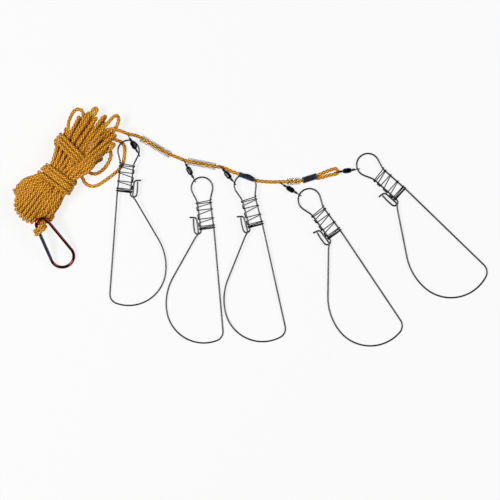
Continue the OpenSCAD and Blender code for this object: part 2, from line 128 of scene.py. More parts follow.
class SleeveSettings(bpy.types.PropertyGroup):
    outer: FloatProperty(name="Sleeve Diameter", description="Outside diameter of the clear sleeves",
                         default=0.0066, unit="LENGTH")
    wall: FloatProperty(name="Sleeve Wall", description="Wall of the clear sleeves",
                        default=0.0006, unit="LENGTH")
    tint: FloatVectorProperty(name="Sleeve Tint", description="Tint of the clear plastic", subtype="COLOR",
                              default=(0.90, 0.91, 0.95), min=0, max=1)
    dark: FloatVectorProperty(name="Dark Sleeve Color", description="Shrunk plastic of the snug sleeves",
                              subtype="COLOR", default=(0.012, 0.014, 0.028), min=0, max=1)


class SwivelSettings(bpy.types.PropertyGroup):
    nickel: FloatVectorProperty(name="Swivel Color", description="Black nickel of the swivels",
                                subtype="COLOR", default=(0.035, 0.035, 0.040), min=0, max=1)


class StageSettings(bpy.types.PropertyGroup):
    lens: FloatProperty(name="Lens", description="Focal length of the camera in millimetres", default=100.0)
    width: FloatProperty(name="Picture Width", description="Width of the picture on the floor",
                         default=0.46, unit="LENGTH")
    lamp: FloatProperty(name="Lamp Power", description="Power of the main lamp in watts", default=30.0)
    sky: FloatProperty(name="Sky Level", description="Strength of the surrounding light", default=0.9)


# Routes

def smooth_route(points, pieces):
    """A smooth curve through given points."""
    p = np.asarray(points, float)
    ends = np.vstack([p[0], p, p[-1]])
    u = np.linspace(0, 1, pieces, endpoint=False)[:, None]
    runs = [0.5 * (2 * b + u * (c - a) + u * u * (2 * a - 5 * b + 4 * c - d)
                   + u ** 3 * (3 * b - a - 3 * c + d))
            for a, b, c, d in zip(ends[:-3], ends[1:-2], ends[2:-1], ends[3:])]
    return np.vstack(runs + [p[-1:]])


def travel(points):
    return np.concatenate([[0], np.cumsum(np.linalg.norm(np.diff(points, axis=0), axis=1))])


def even_steps(points, step):
    """The same route with its points a set step apart."""
    s = travel(points)
    at = np.linspace(0, s[-1], max(2, int(round(s[-1] / step))) + 1)
    return np.stack([np.interp(at, s, points[:, k]) for k in range(3)], axis=1)


def rounded(points, rounds):
    """Eases the corners of evenly stepped points."""
    for _ in range(rounds):
        points = np.vstack([points[:1], (points[:-2] + 2 * points[1:-1] + points[2:]) / 4, points[-1:]])
    return points


def carried(points, matrix):
    m = np.array(matrix)
    return np.asarray(points, float) @ m[:3, :3].T + m[:3, 3]


def arc(centre, radius, start, end, steps):
    """Points of an arc in the xy plane, with angles in degrees."""
    a = np.radians(np.linspace(start, end, steps + 1))
    return np.stack([centre[0] + radius * np.cos(a), centre[1] + radius * np.sin(a)], axis=1)


def flat(points, z=0.0):
    return np.column_stack([np.asarray(points, float), np.full(len(points), z)])


# Meshes

def swept_tube(name, points, diameter, sides):
    """A round tube along points in metres, open at its ends."""
    curve = bpy.data.curves.new(name, "CURVE")
    curve.dimensions = "3D"
    curve.bevel_depth = diameter / 2
    curve.bevel_resolution = (sides - 4) // 2
    spline = curve.splines.new("POLY")
    spline.points.add(len(points) - 1)
    weighted = np.column_stack([points, np.ones(len(points))])
    spline.points.foreach_set("co", weighted.astype(np.float32).ravel())
    holder = bpy.data.objects.new(name, curve)
    bpy.context.collection.objects.link(holder)
    graph = bpy.context.evaluated_depsgraph_get()
    mesh = bpy.data.meshes.new_from_object(holder.evaluated_get(graph), depsgraph=graph)
    mesh.name = name
    bpy.data.objects.remove(holder)
    bpy.data.curves.remove(curve)
    return mesh


def finished(name, mesh, material, body):
    """An object of the mesh, with closed ends, its faces outwards, its material and its body."""
    work = bmesh.new()
    work.from_mesh(mesh)
    bmesh.ops.remove_doubles(work, verts=work.verts, dist=1e-7)
    edges = [e for e in work.edges if e.is_boundary]
    if edges:
        bmesh.ops.holes_fill(work, edges=edges, sides=0)
    bmesh.ops.recalc_face_normals(work, faces=work.faces)
    for face in work.faces:
        face.smooth = True
    work.to_mesh(mesh)
    work.free()
    mesh.materials.clear()
    mesh.materials.append(material)
    piece = bpy.data.objects.new(name, mesh)
    bpy.context.collection.objects.link(piece)
    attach(piece, body)
    return piece


def mesh_of(name, work):
    mesh = bpy.data.meshes.new(name)
    work.to_mesh(mesh)
    work.free()
    return mesh


def braid(mesh, points, sides, rope):
    """Works an eight-strand braid into a tube's surface, and keeps its relief and lay for the material."""
    n = len(points)
    co = np.empty(n * sides * 3, np.float32)
    mesh.vertices.foreach_get("co", co)
    ring = co.reshape(n, sides, 3).astype(float)
    centre = ring.mean(axis=1, keepdims=True)
    out = ring - centre
    out /= np.linalg.norm(out, axis=2, keepdims=True)
    s = (travel(points) / rope.lay)[:, None]
    turn = (np.arange(sides) / sides)[None, :]
    p, q = 4 * turn - 4 * s, 4 * turn + 4 * s
    rp, rq = np.round(p), np.round(q)
    crown_a = np.sqrt(np.clip(1 - (2 * (p - rp)) ** 2, 0, 1))
    crown_b = np.sqrt(np.clip(1 - (2 * (q - rq)) ** 2, 0, 1))
    a = rope.strand * crown_a + rope.wave * np.cos(math.pi * (q + rp))
    b = rope.strand * crown_b - rope.wave * np.cos(math.pi * (p + rq))
    height = np.maximum(a, b)
    top = rope.strand + rope.wave
    radius = rope.diameter / 2 * 1.02 - top + np.clip(height, -0.4 * rope.wave, None)
    mesh.vertices.foreach_set("co", (centre + out * radius[:, :, None]).astype(np.float32).ravel())
    relief = mesh.attributes.new("relief", "FLOAT", "POINT")
    relief.data.foreach_set("value", np.clip(height / top, 0, 1).astype(np.float32).ravel())
    over = a >= b
    yarn = np.stack([np.where(over, p - rp, q - rq) * 1.3, np.where(over, q, p) * 1.5 + 0 * turn,
                     np.where(over, rp, rq + 17.0) + 0 * turn], axis=2)
    lay = mesh.attributes.new("yarn", "FLOAT_VECTOR", "POINT")
    lay.data.foreach_set("vector", yarn.astype(np.float32).ravel())


def rope_piece(name, route_mm, nodes, step=0.6):
    """A stretch of braided rope, standing in for the CAD nodes it hides."""
    sides = 16
    rope = bpy.context.scene.stringer_rope
    points = even_steps(np.asarray(route_mm, float), step) * MM
    mesh = swept_tube(name, points, rope.diameter, sides)
    braid(mesh, points, sides, rope)
    piece = finished(name, mesh, rope_material(), "line")
    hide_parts(*nodes)
    return piece


def settle(points, spacing, fixed, rounds, keep):
    """Pushes a rope's stretches apart until they lie side by side, on the floor and inside the binding."""
    p = points.copy()
    n = len(p)
    order = np.arange(n)
    near = np.abs(order[:, None] - order[None, :]) <= 2
    lengths = np.linalg.norm(np.diff(p, axis=0), axis=1)[:, None]
    everything = np.vstack([p, fixed]) if len(fixed) else p
    for _ in range(rounds):
        everything[:n] = p
        gap = p[:, None, :] - everything[None, :, :]
        apart = np.sqrt((gap ** 2).sum(axis=2)) + 1e-9
        lack = np.clip(spacing - apart, 0, None)
        lack[:, :n][near] = 0
        lack[:, :n] *= 0.5
        p = p + 0.9 * ((lack / apart)[:, :, None] * gap).sum(axis=1)
        for _ in range(2):
            d = np.diff(p, axis=0)
            size = np.linalg.norm(d, axis=1)[:, None]
            fix = d * (0.5 * (size - lengths) / size)
            p[:-1] += fix
            p[1:] -= fix
        p[1:-1] += 0.12 * ((p[:-2] + p[2:]) / 2 - p[1:-1])
        p += keep * (points - p)
        p[:, 2] = np.maximum(p[:, 2], LOWEST)
        room = WAIST_ROOM
        waist = (p[:, 0] > room["start"]) & (p[:, 0] < room["end"])
        p[waist, 1] = np.clip(p[waist, 1], -room["half"], room["half"])
        p[waist, 2] = np.clip(p[waist, 2], room["low"], room["high"])
    return p


# Shared shader groups

def new_group(name, inputs, outputs):
    group = bpy.data.node_groups.new(name, "ShaderNodeTree")
    for label, kind, value in inputs:
        socket = group.interface.new_socket(label, in_out="INPUT", socket_type=kind)
        if value is not None:
            socket.default_value = value
    for label, kind in outputs:
        group.interface.new_socket(label, in_out="OUTPUT", socket_type=kind)
    return group, group.nodes.new("NodeGroupInput"), group.nodes.new("NodeGroupOutput")


def worked(nodes, links, operation, *values):
    """The result of a math node; each value is a number or another node's output."""
    node = nodes.new("ShaderNodeMath")
    node.operation = operation
    for socket, value in zip(node.inputs, values):
        if isinstance(value, bpy.types.NodeSocket):
            links.new(value, socket)
        else:
            socket.default_value = value
    return node.outputs["Value"]


def wear_group():
    """Handling marks: a cloudy mask for colour and roughness, and a fine height."""
    name = "Handling Marks"
    if name in bpy.data.node_groups:
        return bpy.data.node_groups[name]
    group, into, out = new_group(
        name,
        [("Vector", "NodeSocketVector", None), ("Scale", "NodeSocketFloat", 60.0),
         ("Fine Scale", "NodeSocketFloat", 900.0), ("Low", "NodeSocketFloat", 0.4),
         ("High", "NodeSocketFloat", 0.7)],
        [("Mask", "NodeSocketFloat"), ("Height", "NodeSocketFloat")])
    nodes, links = group.nodes, group.links
    cloud = set_inputs(nodes.new("ShaderNodeTexNoise"), Detail=5.0, Roughness=0.62)
    links.new(into.outputs["Vector"], cloud.inputs["Vector"])
    links.new(into.outputs["Scale"], cloud.inputs["Scale"])
    span = nodes.new("ShaderNodeMapRange")
    links.new(cloud.outputs["Fac"], span.inputs["Value"])
    links.new(into.outputs["Low"], span.inputs["From Min"])
    links.new(into.outputs["High"], span.inputs["From Max"])
    links.new(span.outputs["Result"], out.inputs["Mask"])
    fine = set_inputs(nodes.new("ShaderNodeTexNoise"), Detail=3.0)
    links.new(into.outputs["Vector"], fine.inputs["Vector"])
    links.new(into.outputs["Fine Scale"], fine.inputs["Scale"])
    links.new(fine.outputs["Fac"], out.inputs["Height"])
    return group


def streak_group():
    """Fine lines along one direction of a vector, as on drawn wire and on yarn."""
    name = "Drawn Streaks"
    if name in bpy.data.node_groups:
        return bpy.data.node_groups[name]
    group, into, out = new_group(
        name,
        [("Vector", "NodeSocketVector", None), ("Stretch", "NodeSocketVector", (1.0, 1.0, 1.0)),
         ("Scale", "NodeSocketFloat", 8.0), ("Contrast", "NodeSocketFloat", 1.0)],
        [("Streak", "NodeSocketFloat")])
    nodes, links = group.nodes, group.links
    scale = nodes.new("ShaderNodeVectorMath")
    scale.operation = "MULTIPLY"
    links.new(into.outputs["Vector"], scale.inputs[0])
    links.new(into.outputs["Stretch"], scale.inputs[1])
    noise = set_inputs(nodes.new("ShaderNodeTexNoise"), Detail=2.0)
    links.new(scale.outputs["Vector"], noise.inputs["Vector"])
    links.new(into.outputs["Scale"], noise.inputs["Scale"])
    centred = worked(nodes, links, "SUBTRACT", noise.outputs["Fac"], 0.5)
    gained = worked(nodes, links, "MULTIPLY_ADD", centred, into.outputs["Contrast"], 0.5)
    links.new(gained, out.inputs["Streak"])
    return group


def set_inputs(node, **values):
    for label, value in values.items():
        node.inputs[label.replace("_", " ")].default_value = value
    return node


def use_group(nodes, group, **values):
    node = nodes.new("ShaderNodeGroup")
    node.node_tree = group
    return set_inputs(node, **values)


def new_material(name):
    material = bpy.data.materials.new(name)
    material.use_nodes = True
    tree = material.node_tree
    return material, tree.nodes, tree.links, tree.nodes["Principled BSDF"]


def blended(nodes, links, fac, low, high):
    """A colour between two, by a mask."""
    mix = nodes.new("ShaderNodeMix")
    mix.data_type = "RGBA"
    links.new(fac, mix.inputs["Factor"])
    for socket, value in ((mix.inputs["A"], low), (mix.inputs["B"], high)):
        if isinstance(value, bpy.types.NodeSocket):
            links.new(value, socket)
        else:
            socket.default_value = (*value, 1.0)
    return mix.outputs["Result"]


def ranged(nodes, links, value, low, high, out_low=0.0, out_high=1.0):
    span = set_inputs(nodes.new("ShaderNodeMapRange"), From_Min=low, From_Max=high, To_Min=out_low,
                      To_Max=out_high)
    links.new(value, span.inputs["Value"])
    return span.outputs["Result"]


def bumped(nodes, links, shader, height, strength, distance):
    bump = set_inputs(nodes.new("ShaderNodeBump"), Strength=strength, Distance=distance)
    links.new(height, bump.inputs["Height"])
    links.new(bump.outputs["Normal"], shader.inputs["Normal"])


def rope_material():
    """Golden orange braided yarn with fine filaments: pale crowns as a painted highlight, red-orange hollows
    as painted shade.
    """
    name = "Braided Golden Rope"
    if name in bpy.data.materials:
        return bpy.data.materials[name]
    rope = bpy.context.scene.stringer_rope
    material, nodes, links, shader = new_material(name)
    relief, yarn = nodes.new("ShaderNodeAttribute"), nodes.new("ShaderNodeAttribute")
    relief.attribute_name, yarn.attribute_name = "relief", "yarn"
    place = nodes.new("ShaderNodeTexCoord")
    streak = use_group(nodes, streak_group(), Stretch=(5.0, 0.9, 1.0), Scale=2.6, Contrast=1.6)
    links.new(yarn.outputs["Vector"], streak.inputs["Vector"])
    marks = use_group(nodes, wear_group(), Scale=70.0, Fine_Scale=2200.0, Low=0.35, High=0.68)
    links.new(place.outputs["Object"], marks.inputs["Vector"])
    # Painted highlight on the strands' crowns and painted shade in the hollows between them, both read from
    # the braid's relief.
    crown_highlight = ranged(nodes, links, relief.outputs["Fac"], 0.70, 0.92)
    hollow_shade = ranged(nodes, links, relief.outputs["Fac"], 0.50, 0.80)
    body = blended(nodes, links, hollow_shade, rope.deep, rope.color)
    fibre = ranged(nodes, links, streak.outputs["Streak"], 0.2, 0.8, 0.55, 1.0)
    bright = blended(nodes, links, worked(nodes, links, "MULTIPLY", crown_highlight, fibre), body, rope.pale)
    dull = blended(nodes, links, marks.outputs["Mask"], (0.84, 0.79, 0.75), (1.0, 1.0, 1.0))
    tone = nodes.new("ShaderNodeMix")
    tone.data_type = "RGBA"
    tone.blend_type = "MULTIPLY"
    tone.inputs["Factor"].default_value = 1.0
    links.new(bright, tone.inputs["A"])
    links.new(dull, tone.inputs["B"])
    links.new(tone.outputs["Result"], shader.inputs["Base Color"])
    links.new(ranged(nodes, links, streak.outputs["Streak"], 0.2, 0.8, 0.34, 0.52),
              shader.inputs["Roughness"])
    set_inputs(shader, Sheen_Weight=0.05, Sheen_Roughness=0.4, Sheen_Tint=(1.0, 0.62, 0.2, 1.0),
               Specular_IOR_Level=0.22)
    bumped(nodes, links, shader, streak.outputs["Streak"], 0.5, 0.00018)
    return material


def marked_material(name, colors, rough, marks, bump, **inputs):
    """A material whose colour, roughness and relief follow cloudy handling marks and a fine grain."""
    if name in bpy.data.materials:
        return bpy.data.materials[name]
    material, nodes, links, shader = new_material(name)
    place = nodes.new("ShaderNodeTexCoord")
    wear = use_group(nodes, wear_group(), **marks)
    links.new(place.outputs["Object"], wear.inputs["Vector"])
    links.new(blended(nodes, links, wear.outputs["Mask"], *colors), shader.inputs["Base Color"])
    links.new(ranged(nodes, links, wear.outputs["Mask"], 0.0, 1.0, *rough), shader.inputs["Roughness"])
    set_inputs(shader, **inputs)
    bumped(nodes, links, shader, wear.outputs["Height"], *bump)
    return material


def metal_material(name, group, prop, shades, rough, grain, **inputs):
    """A metal between two shades of its set colour, with its cloud scale, fine scale and bump as grain."""
    color = getattr(getattr(bpy.context.scene, f"stringer_{group}"), prop)
    scale, fine, bump = grain
    return marked_material(name, [scaled(color, shade) for shade in shades], rough,
                           dict(Scale=scale, Fine_Scale=fine, Low=0.36, High=0.70), (bump, 0.00006),
                           Metallic=1.0, **inputs)


def scaled(color, factor):
    return tuple(min(1.0, c * factor) for c in color)


def wire_material():
    return metal_material("Drawn Stainless Wire", "snap", "steel", (0.7, 1.3), (0.28, 0.42),
                          (40.0, 5200.0, 0.02))


def winding_material():
    return metal_material("Dark Winding Wire", "snap", "dark", (0.6, 1.7), (0.3, 0.5),
                          (420.0, 6000.0, 0.1))


def nickel_material():
    return metal_material("Black Nickel", "swivel", "nickel", (0.6, 1.7), (0.12, 0.28),
                          (260.0, 4200.0, 0.1))


def gate_material():
    return metal_material("Satin Gate Steel", "clip", "gate", (0.75, 1.15), (0.17, 0.29),
                          (160.0, 3800.0, 0.06))


def red_material():
    """Dark red anodised rod: a dyed metal under a clear coat, rubbed paler in places."""
    return metal_material("Dark Red Anodised", "clip", "red", (0.7, 1.4), (0.17, 0.27),
                          (90.0, 3600.0, 0.04), Coat_Weight=0.6, Coat_Roughness=0.08)


def clear_material():
    """Clear soft plastic with faint haze and scuffs."""
    tint = bpy.context.scene.stringer_sleeve.tint
    return marked_material("Clear Sleeve Plastic", (tint, scaled(tint, 0.93)), (0.05, 0.22),
                           dict(Scale=260.0, Fine_Scale=1500.0, Low=0.42, High=0.72), (0.25, 0.0002),
                           Transmission_Weight=1.0, IOR=1.16, Alpha=0.4)


def dark_sleeve_material():
    """Shrunk dark plastic, glossy, with faint ripples."""
    dark = bpy.context.scene.stringer_sleeve.dark
    return marked_material("Dark Shrunk Sleeve", (dark, scaled(dark, 3.0)), (0.16, 0.36),
                           dict(Scale=300.0, Fine_Scale=1300.0, Low=0.38, High=0.7), (0.4, 0.0003),
                           Coat_Weight=0.5, Coat_Roughness=0.1)


def paint_node(node, material):
    """Gives a CAD node its material."""
    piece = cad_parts[node]
    if not piece.material_slots:
        piece.data.materials.append(material)
    for slot in piece.material_slots:
        slot.link = "OBJECT"
        slot.material = material


# Hank route

# Tip of each upper loop: place along and across the hank, height, half width, tilt of its bend in degrees,
# with zeros for the two open loops, which have their own points
LOOP_TIPS = [
    (47, 23.5, 8, 3.2, 0), (0, 0, 0, 0, 0), (64, 21, 8.5, 2.4, 10), (72.4, 16.3, 9.5, 2.4, 20),
    (80.4, 13.4, 12, 1.8, 75), (73, 8.4, 8, 2.4, 0), (66, 5.5, 15, 1.9, 40), (80, 2.5, 10.5, 2.2, 20),
    (75, -1.5, 8, 2.4, 0), (0, 0, 0, 0, 0), (71, -9, 12.5, 1.9, 50), (72, -16, 10, 2.2, 20),
    (65, -20.5, 13, 1.8, 70), (57.5, -18.6, 8, 2.4, 0), (48, -17.4, 7, 2.4, 0)]
# One is the thin open loop, the other the wide loop seen from its edge
OPEN_LOOPS = {
    1: [(49.3, 22.6, 14.5), (54, 25.4, 13), (59.4, 26.9, 11), (65, 28, 9.6), (68.6, 25, 9),
        (68.6, 20.5, 8.6), (65, 18, 7.6), (58, 18.4, 6)],
    9: [(66, -4.4, 19), (77.8, -4.4, 18.4), (84, -4.4, 17), (86.4, -6.2, 15), (85, -9, 12.4),
        (80, -11, 10.4), (74, -12, 9), (66, -12, 7)]}
# Outline of the round head: its left and right side at places along it, and its end at places across it
HEAD_ALONG = [-24, -14, -6, -1.5]
HEAD_LEFT = [20.9, 22.0, 17.0, 12.6]
HEAD_RIGHT = [-16.2, -14.4, -13.0, -12.2]
END_ACROSS = [-16.2, -10.5, -6, -1, 4, 13, 16.6, 20.9]
END_ALONG = [-30, -37, -41, -43, -43.4, -41, -37.5, -29]
# Height of the hank's middle, half its width at the waist, and the loops that cross over the others
MID = 11.6
WAIST_HALF = 12.9
CROSSING = {11: -9.4, 12: -12.8, 13: -16.2}
# Place across the hank from which the slanted wraps of the binding dip over its side
WRAP_DIP = -5.5


def hank_route():
    """One rope in fifteen standing loops: round the head, through the waist, out to a tip and back."""
    points = []
    count = len(LOOP_TIPS)
    for i, (along, across, height, half, tilt) in enumerate(LOOP_TIPS):
        odd = i % 2
        turn = math.pi * (i + 0.35) / (count - 0.3)
        side, rise = (1 - math.cos(turn)) / 2, math.sin(turn) ** 0.8
        ball = {x: (1 - side) * left + side * far
                for x, left, far in zip(HEAD_ALONG, HEAD_LEFT, HEAD_RIGHT)}
        head = ball[-24]
        end_x = float(np.interp(head, END_ACROSS, END_ALONG))
        low = 1 if head > -7 else 0.62
        top_z, low_z = MID + 10.6 * rise, MID - 9.8 * rise
        waist = WAIST_HALF - 2 * WAIST_HALF * i / (count - 1)
        fan_a = CROSSING.get(i, 19.8 - 2.62 * i)
        fan_b = 19.6 - 2.45 * i
        high = 17.6 - 3.4 * odd
        deep = 5.4 + 3.4 * odd
        points += [(end_x + 4, head, MID + (top_z - MID) * 0.75 * low),
                   (end_x + 10, head, MID + (top_z - MID) * low),
                   (-24, head, top_z), (-14, ball[-14], top_z), (-6, ball[-6], top_z - 1.5),
                   (-1.5, ball[-1.5], high + 0.6), (2, waist, high), (10, waist, high), (18, waist, high),
                   (25, (waist + fan_a) / 2, high + 2 * (i in CROSSING)),
                   (32, fan_a, 21.2 if i in CROSSING else high),
                   (38, fan_a * 1.04, 20.6 if i in CROSSING else high)]
        if i in OPEN_LOOPS:
            points += [(48, (fan_a + OPEN_LOOPS[i][0][1]) / 2, 18)] + OPEN_LOOPS[i]
        else:
            t = math.radians(tilt)
            aside, up = half * math.sin(t), half * math.cos(t)
            lead = Vector((along - 34, across - fan_a * 0.8)).normalized()
            back = (along - 9 * lead.x, across - 9 * lead.y)
            near_tip = (along - 3 * lead.x, across - 3 * lead.y)
            points += [((38 + back[0]) / 2, (fan_a + back[1]) / 2, high + 0.4),
                       (back[0], back[1] + aside, height + up + 1),
                       (near_tip[0], near_tip[1] + aside, height + up), (along, across, height),
                       (near_tip[0], near_tip[1] - aside, height - up),
                       (back[0], back[1] - aside, height - up - 0.6),
                       ((34 + back[0]) / 2, (fan_b + back[1]) / 2 - 0.6, 5 + 2.4 * odd)]
        points += [(30, fan_b, deep), (19, waist, deep), (10, waist, deep), (1, waist, deep),
                   (-6, ball[-6], deep - 0.6), (-14, ball[-14], low_z + 0.6), (-24, head, low_z),
                   (end_x + 9, head, low_z + 0.6), (end_x + 2.5, head - 0.8, MID - 7.4 * rise),
                   (end_x, head - 1.6, MID)]
    # The last stretch, over the head and the waist to the line
    points += [(-34, -10, 15), (-22, -11, 18.5), (-10, -9.4, 18), (0, -6, 17.5), (10, -4, 17.5),
               (20, -1, 17.4), (32, -0.6, 17.4), (46, -1, 17.4), (60, -2.6, 16.4), (68, -6, 15.6),
               (72.6, -9.6, 15)]
    return np.array(points, float)


def binding_route():
    """Four turns round the waist, then three slanted ones round the upper body, side by side."""
    points = []
    per_turn, waist_points, slanted_points = 16, 57, 52

    def turned(t, middle, reach, height):
        a = 2 * math.pi * t + 0.1
        c, s = math.cos(a), math.sin(a)
        return (middle + reach * math.copysign(abs(c) ** 0.74, c),
                11.4 + height * math.copysign(abs(s) ** 0.72, s))

    for k in range(waist_points):
        t = k / per_turn
        y, z = turned(t, 0, 16.9 - 0.5 * t, 9.8)
        points.append((t * 3.5 + 0.6 * math.sin(1.7 * t), y, z))
    for k in range(waist_points, waist_points + slanted_points):
        t = k / per_turn
        y, z = turned(t, 3.2, 20.2, 10.2)
        ease = min(1.0, (t - 3.5) * 2)
        before = turned(t, 0, 15.2, 9.8)[0]
        if z > 12:
            z = max(min(z, 16.6), z - max(0.0, (WRAP_DIP - y) * 1.3))
        points.append((12 * (1 - ease) + (30 + 3.5 * (t - 4) + 0.14 * (y - 7)) * ease,
                       y * ease + before * (1 - ease), z))
    return np.array(points, float)


# Snap routes

# Ring, rails and ladder, then the loop: its depth, its corner's share aside, the radii of its corner, wide
# bend and flank, and in degrees the bottom's lean and the bend's start. Hook and spike are the wire's ends.
SNAP = dict(wire=1.5, wind=0.9, ring=10.0, rise=12.4, rails=12.2, ladder=27.0, drop=122.4, aside=0.055,
            corner=9.0, bulge=35.0, flank=50.0, lean=13, turn_in=184, hook=6.2, spike=6.4, gap=0.03)
# Coil on a swivel's shank: its ends from the barrel's middle, thickness of the shank and of the coil's wire
SHANK = dict(start=4.5, end=7.1, wire=1.3, wrap=0.5)
WRAP = SNAP["wire"] / 2 + SNAP["wind"] / 2 + SNAP["gap"]
# Height of a flat snap above the floor, then each snap's height, place, turn and tilt in degrees, and size
FLAT_Z = WRAP + SNAP["wind"] * 1.05
SNAP_Z = [3.4 + WRAP + SNAP["wind"], FLAT_Z, 4.8, FLAT_Z, FLAT_Z]
SNAP_PLACE = [(-124.0, 69.3), (-53.7, 35.5), (-12.3, 37.8), (51.2, 26.3), (107.3, 60.2)]
SNAP_TURN = [-6.7, 7.4, 14.9, 36.2, 48.3]
SNAP_TILT = [2.1, 0.5, 1.7, 0.5, 0.5]
SNAP_SIZE = [0.98, 0.985, 1, 1.03, 1.045]
# Rungs as shares of the ladder's length, their slant, and how far each return runs to the next rung
RUNGS = [-0.03, 0.075, 0.3, 0.61, 0.86, 0.94]
RUNG_SLANT = 0.9
RETURN_SHARE = 0.4


def snap_place(i):
    mirror = Matrix.Diagonal((-1 if i == 0 else 1, 1, 1, 1))
    return (Matrix.Translation((*SNAP_PLACE[i], SNAP_Z[i]))
            @ Matrix.Rotation(math.radians(SNAP_TURN[i]), 4, "Z")
            @ Matrix.Rotation(math.radians(SNAP_TILT[i]), 4, "X") @ Matrix.Scale(SNAP_SIZE[i], 4) @ mirror)


def snap_route():
    """The wire: bent finger tip, leg, wide bend, tight corner, right rail, ring, left rail and catch hook."""
    g = SNAP
    rail = g["rails"] / 2
    corner = np.array([-g["aside"] * g["drop"], -g["drop"]])
    lean = g["lean"]
    bend = corner + (g["bulge"] - g["corner"]) * np.array([-math.sin(math.radians(lean)),
                                                          math.cos(math.radians(lean))])
    leg_x = -(rail + g["wire"] + g["wind"] + g["gap"] * 4)
    leg_top, leg_low = -g["ladder"] * 0.55, -g["ladder"] * 1.05
    leg_z = g["wire"] + g["gap"] * 4
    flank = bend + (g["flank"] - g["bulge"], 0)
    to_leg = np.array([leg_x, leg_low]) - flank
    start = math.degrees(math.atan2(to_leg[1], to_leg[0]) + math.acos(g["flank"] / np.linalg.norm(to_leg)))
    touch = arc(flank, g["flank"], start, start, 1)[0]
    low = np.array([leg_x, leg_low])
    free = [(*(low + (touch - low) * s), leg_z * (1 - s)) for s in (0.12, 0.5)]
    hook = g["hook"]
    parts = [
        np.array([(leg_x - g["spike"], leg_top + g["spike"] * 0.2, leg_z),
                  (leg_x - 1.6, leg_top + 0.48, leg_z),
                  (leg_x - 0.48, leg_top - 0.48, leg_z), (leg_x, leg_top - 1.6, leg_z),
                  (leg_x, leg_low * 0.96, leg_z), (leg_x - 0.3, leg_low * 1.05, leg_z)]),
        np.array(free), flat(arc(flank, g["flank"], start, 180, 14)),
        flat(arc(bend, g["bulge"], g["turn_in"], 270 + lean, 26)),
        flat(arc(corner, g["corner"], 270 + lean, 362.5, 16)),
        np.array([(rail, -g["ladder"] - g["wire"], 0), (rail, -g["ladder"] * 0.5, 0), (rail, -1, 0),
                  (rail + 0.5, 1.6, 0)]),
        flat(arc((0, g["rise"]), g["ring"], -22, 202, 48)),
        np.array([(-rail - 0.5, 1.6, 0), (-rail, -1, 0), (-rail, -g["ladder"] * 0.5, 0),
                  (-rail, -g["ladder"] + g["wire"], 0)]),
        flat(arc((-rail - hook / 2, -g["ladder"]), hook / 2, 0, -180, 16)),
        np.array([(-rail - hook, -g["ladder"] + hook * 0.9, 0),
                  (-rail - hook * 0.9, -g["ladder"] + hook * 1.9, 0)])]
    return np.vstack(parts)


def winding_route():
    """The fine wire: for each rung across the front, round the right rail, and back on a slant."""
    g = SNAP
    rail = g["rails"] / 2
    half_turn = np.radians(np.linspace(90, -90, 9))
    c, s = np.cos(half_turn), np.sin(half_turn)
    runs = []
    for k, share in enumerate(RUNGS):
        top, low = -g["ladder"] * share, -g["ladder"] * share - RUNG_SLANT
        after = -g["ladder"] * RUNGS[k + 1] if k + 1 < len(RUNGS) else low - g["gap"]
        runs.append(np.stack([rail + WRAP * c, top + (low - top) * (1 - s) / 2, WRAP * s], axis=1))
        back = (1 - RETURN_SHARE) * low + RETURN_SHARE * after
        runs.append(np.stack([-rail - WRAP * c[:3:-1], back + 0 * c[:3:-1], WRAP * s[:3:-1]], axis=1))
        runs.append(np.stack([-rail - WRAP * c[4::-1], after + 0 * c[4::-1], WRAP * s[4::-1]], axis=1))
    return np.vstack(runs)


# Carabiner place and routes

# Arch and basket are the radii of the narrow and the wide bend, and the tongue stands out of the rod's ends
CLIP = dict(rod=2.8, arch=5.7, basket=10.5, span=35.5, nose=6.0, tongue=1.2, back=2.8, tongue_len=2.6,
            sink=0.2, tilt=20)
CLIP_LEAN = math.asin((CLIP["basket"] - CLIP["arch"]) / CLIP["span"])
CLIP_PIVOT = CLIP["span"] * math.cos(CLIP_LEAN) - CLIP["back"]
CLIP_RISE = (CLIP["span"] + CLIP["basket"]) * math.sin(math.radians(CLIP["tilt"])) + CLIP["rod"] / 2
CLIP_PLACE = (Matrix.Translation((-200, 13.6, CLIP_RISE)) @ Matrix.Rotation(math.radians(-60.6), 4, "Z")
              @ Matrix.Rotation(math.radians(CLIP["tilt"]), 4, "Y"))
GATE_LINE = CLIP_PLACE @ Matrix.Rotation(-CLIP_LEAN, 4, "Z") @ Matrix.Translation((0, -CLIP["arch"], 0))


def rod_route():
    g = CLIP
    lean = math.degrees(CLIP_LEAN)
    side = np.array([math.cos(CLIP_LEAN), -math.sin(CLIP_LEAN)])
    nose = g["arch"] * np.array([-math.sin(CLIP_LEAN), -math.cos(CLIP_LEAN)]) + g["nose"] * side
    return flat(np.vstack([[nose], arc((0, 0), g["arch"], 270 - lean, 90 + lean, 36),
                           arc((g["span"], 0), g["basket"], 90 + lean, -90 - lean, 48)]))


def bight_route():
    """The rope's bight, wound twice round the rod in long slanted turns through the narrow bend."""
    radius, step, start, reach = CLIP["rod"] / 2 + 1.7 + 0.2, 3.7, -0.2, 4.4
    wound = []
    for k in range(31):
        t = k / 16
        a = math.radians(-75 + 360 * t)
        y = radius * math.cos(a) + reach * max(0.0, math.cos(a)) ** 0.6
        wound.append((start + step * t - 0.2 * y, y, radius * math.sin(a)))
    wound = np.array(wound)
    return np.vstack([wound[0] + (-2.2, -1.6, -0.3), wound, wound[-1] + (-1, -1.7, -2.4)])


# Operators

